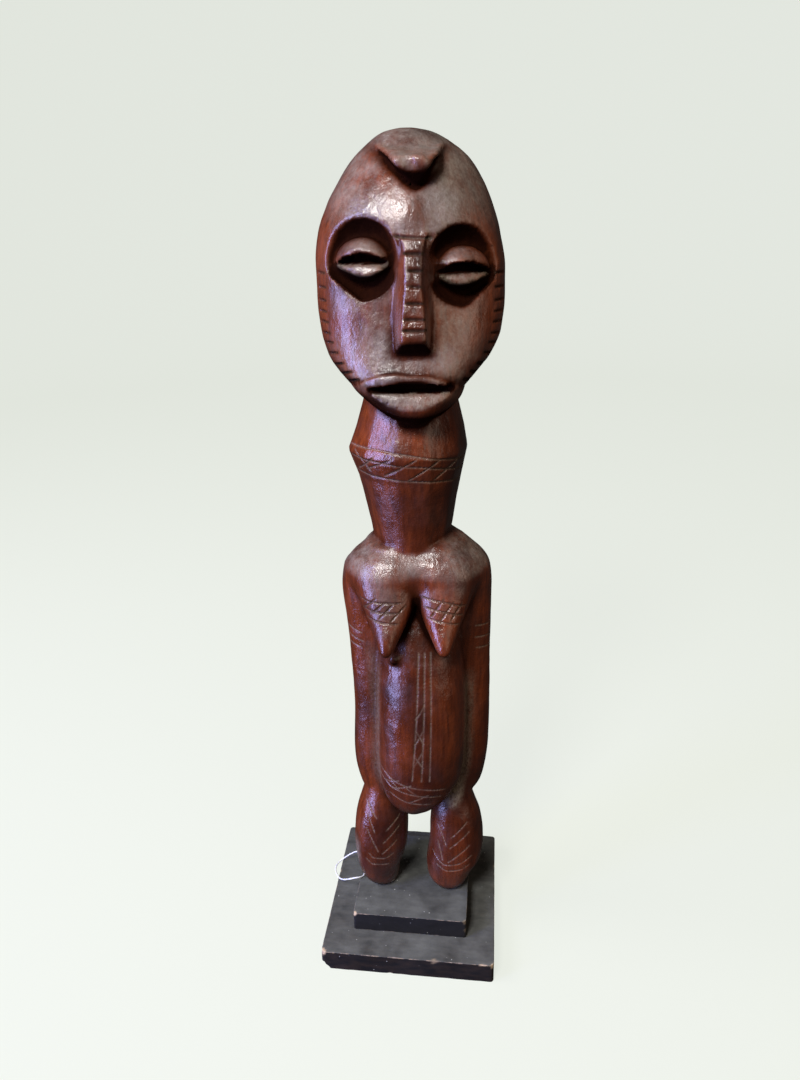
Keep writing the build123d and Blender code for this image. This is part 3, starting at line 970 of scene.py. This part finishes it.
def wood_material():
    """Dark red-brown hardwood, waxed and handled, with dust in the side grooves, painted shade in the
    hollows and under sides, a partly painted sheen and pale cut lines.
    """
    material, tree, shader = new_material("carved_wood")
    place = scaled_place(tree, (1.0, 1.0, 1.0))
    grain = noise(tree, scaled_place(tree, (1.0, 1.0, 0.09)), 420.0, 4.0, 0.6)
    patches = noise(tree, scaled_place(tree, (1.0, 1.0, 0.5)), 26.0, 3.0, 0.6)
    fine = noise(tree, scaled_place(tree, (1.0, 0.8, 0.7)), 620.0, 4.0, 0.68)
    # Painted shade of the recesses, under sides and eye bowls, read from the figure's vertices
    painted_shade = attribute(tree, "painted_shade")
    colour = (0.150, 0.0300, 0.0070, 1)
    colour = blend(tree, ramp(tree, grain, 0.30, 0.72), (0.062, 0.0108, 0.0030, 1), colour)
    colour = blend(tree, ramp(tree, patches, 0.36, 0.62), (0.026, 0.0052, 0.0026, 1), colour)
    # Handling leaves the raised edges brighter and redder; painted shade makes the recesses, under sides
    # and eye bowls nearly black
    handled = ramp(tree, attribute(tree, "edge"), 0.05, 0.6, 0.0, 0.45)
    colour = blend(tree, handled, colour, (0.20, 0.052, 0.020, 1))
    colour = blend(tree, ramp(tree, painted_shade, 0.08, 0.62, 0.0, 0.95), colour, (0.0050, 0.0018, 0.0012, 1))
    # A grey film of dust and old wax, partly a painted sheen of the light from above, lies on the crown,
    # forehead, cheeks and shoulders and on faces that look up
    film_and_sheen_patches = ramp(tree, noise(tree, place, 34.0, 6.0, 0.7), 0.38, 0.60, 0.10, 0.80)
    film_and_sheen = ramp(tree, facing_up(tree), 0.35, 0.95, 0.0, 0.4)
    film_and_sheen = math_of(tree, "MAXIMUM", film_and_sheen, attribute(tree, "film_and_sheen"))
    film_and_sheen = times(tree, film_and_sheen, times(tree, film_and_sheen_patches, ramp(tree, painted_shade, 0.1, 0.55, 1.0, 0.0)))
    film_and_sheen = times(tree, film_and_sheen, ramp(tree, fine, 0.25, 0.65, 0.45, 1.0))
    colour = blend(tree, film_and_sheen, colour, (0.215, 0.182, 0.152, 1))
    # Pale dust in the side grooves and in the cut lines, and painted light on the sloping lips
    pale_dust_and_light = times(tree, attribute(tree, "dust_and_painted_light"), ramp(tree, fine, 0.32, 0.62, 0.15, 0.9))
    colour = blend(tree, pale_dust_and_light, colour, (0.190, 0.153, 0.112, 1))
    groove = times(tree, attribute(tree, "groove"), ramp(tree, fine, 0.25, 0.6, 0.35, 0.9), True)
    colour = blend(tree, groove, colour, (0.26, 0.195, 0.140, 1))
    rough = ramp(tree, noise(tree, place, 75.0, 5.0, 0.65), 0.36, 0.64, 0.22, 0.46)
    rough = plus(tree, rough, times(tree, film_and_sheen, 0.10))
    rough = plus(tree, rough, times(tree, pale_dust_and_light, 0.4))
    rough = plus(tree, rough, times(tree, groove, 0.4), True)
    # Recesses were never polished, so they reflect little
    polish = ramp(tree, painted_shade, 0.05, 0.55, 1.0, 0.0)
    # Tool strokes and grain as a fine bump
    strokes = noise(tree, scaled_place(tree, (1.0, 1.0, 0.8)), 150.0, 5.0, 0.62)
    hewn = bump(tree, plus(tree, times(tree, strokes, 0.92), times(tree, grain, 0.08)), 1.0, 0.0009)
    feed(tree, shader, {
        "Base Color": colour,
        "Roughness": rough,
        "Specular IOR Level": times(tree, polish, 0.5),
        "Coat Weight": times(tree, polish, 0.42),
        "Coat Roughness": 0.22,
        "Normal": hewn,
        "Coat Normal": hewn,
    })
    return material


def painted_material(name, brown):
    """Matt black paint on wood: dusty and mottled where it faces up, worn to pale wood on the edges."""
    material, tree, shader = new_material(name)
    place = scaled_place(tree, (1.0, 1.0, 1.0))
    mottle = noise(tree, place, 55.0, 5.0, 0.62)
    brush = noise(tree, scaled_place(tree, (0.35, 1.0, 1.0)), 260.0, 4.0, 0.6)
    colour = blend(tree, ramp(tree, brush, 0.35, 0.7), (0.0065, 0.0062, 0.0065, 1), brown)
    dusty = ramp(tree, facing_up(tree), 0.3, 0.95)
    dusty = times(tree, dusty, ramp(tree, mottle, 0.28, 0.72, 0.30, 0.9))
    dusty = times(tree, dusty, ramp(tree, brush, 0.2, 0.7, 0.65, 1.0))
    colour = blend(tree, dusty, colour, (0.126, 0.130, 0.122, 1))
    specks = add(tree, "ShaderNodeTexVoronoi", {"Vector": place, "Scale": 330.0}).outputs["Distance"]
    rare = ramp(tree, noise(tree, place, 130.0, 2.0, 0.5), 0.58, 0.62)
    specks = times(tree, ramp(tree, specks, 0.16, 0.08), rare, True)
    colour = blend(tree, specks, colour, (0.42, 0.42, 0.40, 1))
    worn = ramp(tree, noise(tree, place, 190.0, 4.0, 0.6), 0.46, 0.60)
    colour = blend(tree, times(tree, attribute(tree, "wear"), worn, True), colour, (0.26, 0.20, 0.15, 1))
    colour = blend(tree, attribute(tree, "chip"), colour, (0.46, 0.34, 0.22, 1))
    rough = ramp(tree, mottle, 0.3, 0.7, 0.48, 0.66)
    feed(tree, shader, {
        "Base Color": colour,
        "Roughness": plus(tree, rough, times(tree, dusty, 0.25), True),
        "Specular IOR Level": 0.35,
        "Normal": bump(tree, brush, 0.35, 0.0003),
    })
    return material


def metal_material():
    """Smudged steel."""
    material, tree, shader = new_material("dull_steel")
    smudge = noise(tree, scaled_place(tree, (1.0, 1.0, 0.25)), 380.0, 3.0, 0.6)
    colour = blend(tree, ramp(tree, smudge, 0.35, 0.7), (0.27, 0.26, 0.25, 1), (0.48, 0.47, 0.45, 1))
    rough = ramp(tree, smudge, 0.3, 0.7, 0.26, 0.46)
    feed(tree, shader, {"Base Color": colour, "Roughness": rough, "Metallic": 1.0})
    return material


def thread_material():
    """White cotton with a fine unevenness."""
    material, tree, shader = new_material("cotton_thread")
    twist = noise(tree, scaled_place(tree, (1.0, 1.0, 1.0)), 2600.0, 2.0, 0.5)
    colour = blend(tree, ramp(tree, twist, 0.3, 0.7), (0.52, 0.52, 0.55, 1), (0.80, 0.80, 0.83, 1))
    twisted = bump(tree, twist, 0.6, 0.0002)
    feed(tree, shader, {"Base Color": colour, "Roughness": 0.8, "Normal": twisted})
    return material


# ---- plinth


EDGE_STEPS = [0.0, 0.2, 0.45, 0.9]
SCREW_PLACE = 28.0


def steps_across(size):
    """Grid lines across a side, close together at both edges."""
    edge = EDGE_STEPS + [1.6, 2.6, 4.0]
    inner = np.linspace(edge[-1], size - edge[-1], max(2, int(size / 2.4)))[1:-1]
    return np.array(edge + list(inner) + [size - e for e in reversed(edge)]) - size / 2


def worn_slab(name, size, low, corner, rounding, chips, waves):
    """A painted slab with soft worn edges. A chip is x, y, z, radius, depth and how bare it is."""
    width, depth, height = size
    xs, ys = steps_across(width), steps_across(depth)
    middle = np.linspace(1.6, height - 1.6, 9)
    zs = np.unique(np.concatenate([EDGE_STEPS, middle, height - np.array(EDGE_STEPS)]))
    points, faces, number = [], [], {}

    def vertex(x, y, z):
        key = (round(x, 3), round(y, 3), round(z, 3))
        if key not in number:
            number[key] = len(points)
            points.append((x, y, z))
        return number[key]

    def sheet_of(a, b, place):
        for i in range(len(a) - 1):
            for j in range(len(b) - 1):
                corners = [(a[i], b[j]), (a[i + 1], b[j]), (a[i + 1], b[j + 1]), (a[i], b[j + 1])]
                faces.append([vertex(*place(u, v)) for u, v in corners])

    sheet_of(xs, ys, lambda u, v: (u, v, height))
    sheet_of(ys, xs, lambda u, v: (v, u, 0.0))
    sheet_of(xs, zs, lambda u, v: (u, -depth / 2, v))
    sheet_of(zs, xs, lambda u, v: (v, depth / 2, u))
    sheet_of(zs, ys, lambda u, v: (-width / 2, v, u))
    sheet_of(ys, zs, lambda u, v: (width / 2, u, v))
    p = np.array(points, float)
    # Round the upright corners
    over = np.maximum(np.abs(p[:, :2]) - np.array([width / 2 - corner, depth / 2 - corner]), 0)
    both = (over > 0).all(axis=1)
    scale = np.where(both, over.max(axis=1) / np.maximum(np.hypot(over[:, 0], over[:, 1]), 1e-9), 1)
    p[:, :2] += np.sign(p[:, :2]) * over * (scale - 1)[:, None]
    out = np.where(over.max(axis=1, keepdims=True) > 0, np.sign(p[:, :2]) * over, 0)
    out /= np.maximum(np.linalg.norm(out, axis=1, keepdims=True), 1e-9)
    reach = np.hypot(over[:, 0], over[:, 1]) * scale
    # Round the edges of both flat faces, unevenly
    wobble = np.array([smooth_noise(Vector(q * waves)) for q in p])
    soft = rounding * (1 + 0.7 * wobble)
    a = np.clip(soft - (corner - reach), 0, None)
    up = np.where(p[:, 2] > height / 2, 1, -1)
    b = np.clip(soft - np.minimum(p[:, 2], height - p[:, 2]), 0, None)
    squeeze = np.where((a > 0) & (b > 0), np.maximum(a, b) / np.maximum(np.hypot(a, b), 1e-9), 1)
    p[:, :2] += out * (a * (squeeze - 1))[:, None]
    p[:, 2] += up * b * (squeeze - 1)
    wear = np.clip(np.minimum(a, b) / rounding * 3, 0, 1) * (a > 0) * (b > 0)
    # Slight waviness of the hand-planed sides, then the chips
    p[:, :2] -= out * (0.12 * (1 + wobble))[:, None] * (reach > corner * 0.9)[:, None]
    chipped = np.zeros(len(p))
    for x, y, z, radius, deep, bare in chips:
        away = np.linalg.norm(p - np.array([x, y, z]), axis=1) / radius
        amount = np.clip(1 - away**2, 0, 1)
        inward = np.array([
            -np.sign(x) * (abs(x) > width / 2 - 2),
            -np.sign(y) * (abs(y) > depth / 2 - 2),
            -0.8 if z > height / 2 else 0.8,
        ])
        p += (amount * deep)[:, None] * inward / np.linalg.norm(inward)
        chipped = np.maximum(chipped, bare * np.clip(amount * 2.5, 0, 1))
    p[:, 2] += low
    mesh = bpy.data.meshes.new(name)
    mesh.from_pydata((p * MM).tolist(), [], faces)
    return smooth_object(mesh, {"wear": wear, "chip": chipped})


def cut_countersinks(slab):
    """Opens the four screw holes in the board's under side."""
    bm = bmesh.new()
    for x in (-SCREW_PLACE, SCREW_PLACE):
        for y in (-SCREW_PLACE, SCREW_PLACE):
            place = Matrix.Translation((x * MM, y * MM, 0.9 * MM))
            sizes = {"radius1": 4.2 * MM, "radius2": 2.0 * MM, "depth": 2.2 * MM}
            bmesh.ops.create_cone(bm, cap_ends=True, segments=32, matrix=place, **sizes)
    mesh = bpy.data.meshes.new("countersinks")
    bm.to_mesh(mesh)
    bm.free()
    cutter = placed("countersinks", mesh)
    cut = slab.modifiers.new("cut", "BOOLEAN")
    cut.operation, cut.solver, cut.object = "DIFFERENCE", "EXACT", cutter
    graph = bpy.context.evaluated_depsgraph_get()
    whole = bpy.data.meshes.new_from_object(slab.evaluated_get(graph))
    slab.modifiers.clear()
    slab.data = whole
    bpy.data.objects.remove(cutter)


def build_plinth():
    board_chips = [
        (-59.0, -61.0, 15.0, 3.6, 0.9, 0.8),
        (-59.0, -61.0, 0.0, 6.0, 2.6, 0.0),
        (59.0, -61.0, 15.0, 2.8, 0.7, 0.7),
        (51.5, -61.0, 15.0, 1.5, 0.4, 0.9),
        (18.6, -61.0, 15.0, 2.4, 0.8, 0.35),
        (-12.0, -61.0, 0.0, 1.6, 0.4, 0.5),
        (-59.0, 12.0, 15.0, 1.8, 0.4, 0.3),
        (59.0, 30.0, 15.0, 1.6, 0.4, 0.3),
    ]
    block_chips = [
        (-39.5, -40.0, 14.5, 2.4, 0.8, 0.9),
        (39.5, -40.0, 14.5, 2.6, 0.8, 0.25),
        (39.5, -40.0, 7.0, 1.8, 0.5, 0.2),
        (-39.5, 16.0, 14.5, 1.5, 0.3, 0.2),
    ]
    board = worn_slab("painted_board", (118.0, 122.0, 15.0), 0.0, 2.5, 0.42, board_chips, 0.13)
    block = worn_slab("painted_block", (79.0, 80.0, 14.5), 15.0, 1.5, 0.36, block_chips, 0.17)
    board.data.materials.append(painted_material("board_paint", (0.0230, 0.0155, 0.0115, 1)))
    block.data.materials.append(painted_material("block_paint", (0.0095, 0.0088, 0.0088, 1)))
    cut_countersinks(board)
    stand_in(board, "base", "plinth_board")
    stand_in(block, "base", "plinth_block")


# ---- thread

# The tag's loose loop, in metres: from the knot over the block's edge and back to the knot
LOOSE_THREAD = [
    (-0.0370, 0.0039, 0.0310),
    (-0.0364, -0.0024, 0.0306),
    (-0.0376, -0.0082, 0.0316),
    (-0.0420, -0.0112, 0.0333),
    (-0.0476, -0.0096, 0.0298),
    (-0.0528, -0.0044, 0.0236),
    (-0.0574, 0.0026, 0.0174),
    (-0.0616, 0.0092, 0.0159),
    (-0.0632, 0.0162, 0.0159),
    (-0.0602, 0.0218, 0.0164),
    (-0.0542, 0.0228, 0.0212),
    (-0.0482, 0.0202, 0.0278),
    (-0.0422, 0.0154, 0.0332),
    (-0.0380, 0.0094, 0.0333),
    (-0.0354, 0.0038, 0.0311),
]
FOOT_MIDDLE = (-0.02313, -0.00193, 0.0301)
FOOT_LOOP_RADIUS = 0.0103
KNOT_MIDDLE = (-0.0356, 0.0041, 0.0311)
THREAD_END = (-0.0340, 0.0049, 0.0310)


def nurbs_line(name, points, radius):
    data = bpy.data.curves.new(name, "CURVE")
    data.dimensions = "3D"
    data.bevel_depth = radius
    data.bevel_resolution = 3
    data.resolution_u = 8
    data.use_fill_caps = True
    spline = data.splines.new("NURBS")
    spline.points.add(len(points) - 1)
    for item, point in zip(spline.points, points):
        item.co = (*point, 1.0)
    spline.order_u = 3
    spline.use_endpoint_u = True
    return placed(name, data)


def build_thread():
    """The loose loop, once round the left foot, and the overhand knot that closes it."""
    around = []
    for k in range(7):
        angle = math.radians(192 + 45 * k)
        step = Vector((math.cos(angle), math.sin(angle), 0)) * FOOT_LOOP_RADIUS
        around.append(Vector(FOOT_MIDDLE) + step)
    thread = nurbs_line("cotton_tag_thread", LOOSE_THREAD + around + [THREAD_END], 0.0005)
    loops = []
    for k in range(33):
        t = 2 * math.pi * k / 32
        across = 0.60 * (math.sin(t) + 2 * math.sin(2 * t))
        out = 0.33 * (math.cos(t) - 2 * math.cos(2 * t))
        high = -0.9 * math.sin(3 * t)
        loops.append(Vector(KNOT_MIDDLE) + Vector((across, out, high)) * MM)
    knot = nurbs_line("cotton_tag_knot", loops, 0.00048)
    cotton = thread_material()
    for piece, node in ((thread, "tag_string"), (knot, "tag_string_knot")):
        piece.data.materials.append(cotton)
        stand_in(piece, "base", node)


make_camera()
make_stage()
build_plinth()
build_thread()
steel = metal_material()
for name in ("left_mounting_pin", "right_mounting_pin", "plinth_screws"):
    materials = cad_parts[name].data.materials
    materials.clear()
    materials.append(steel)
figure = build_figure()
figure.data.materials.append(wood_material())
stand_in(figure, "figure", "carved_figure")
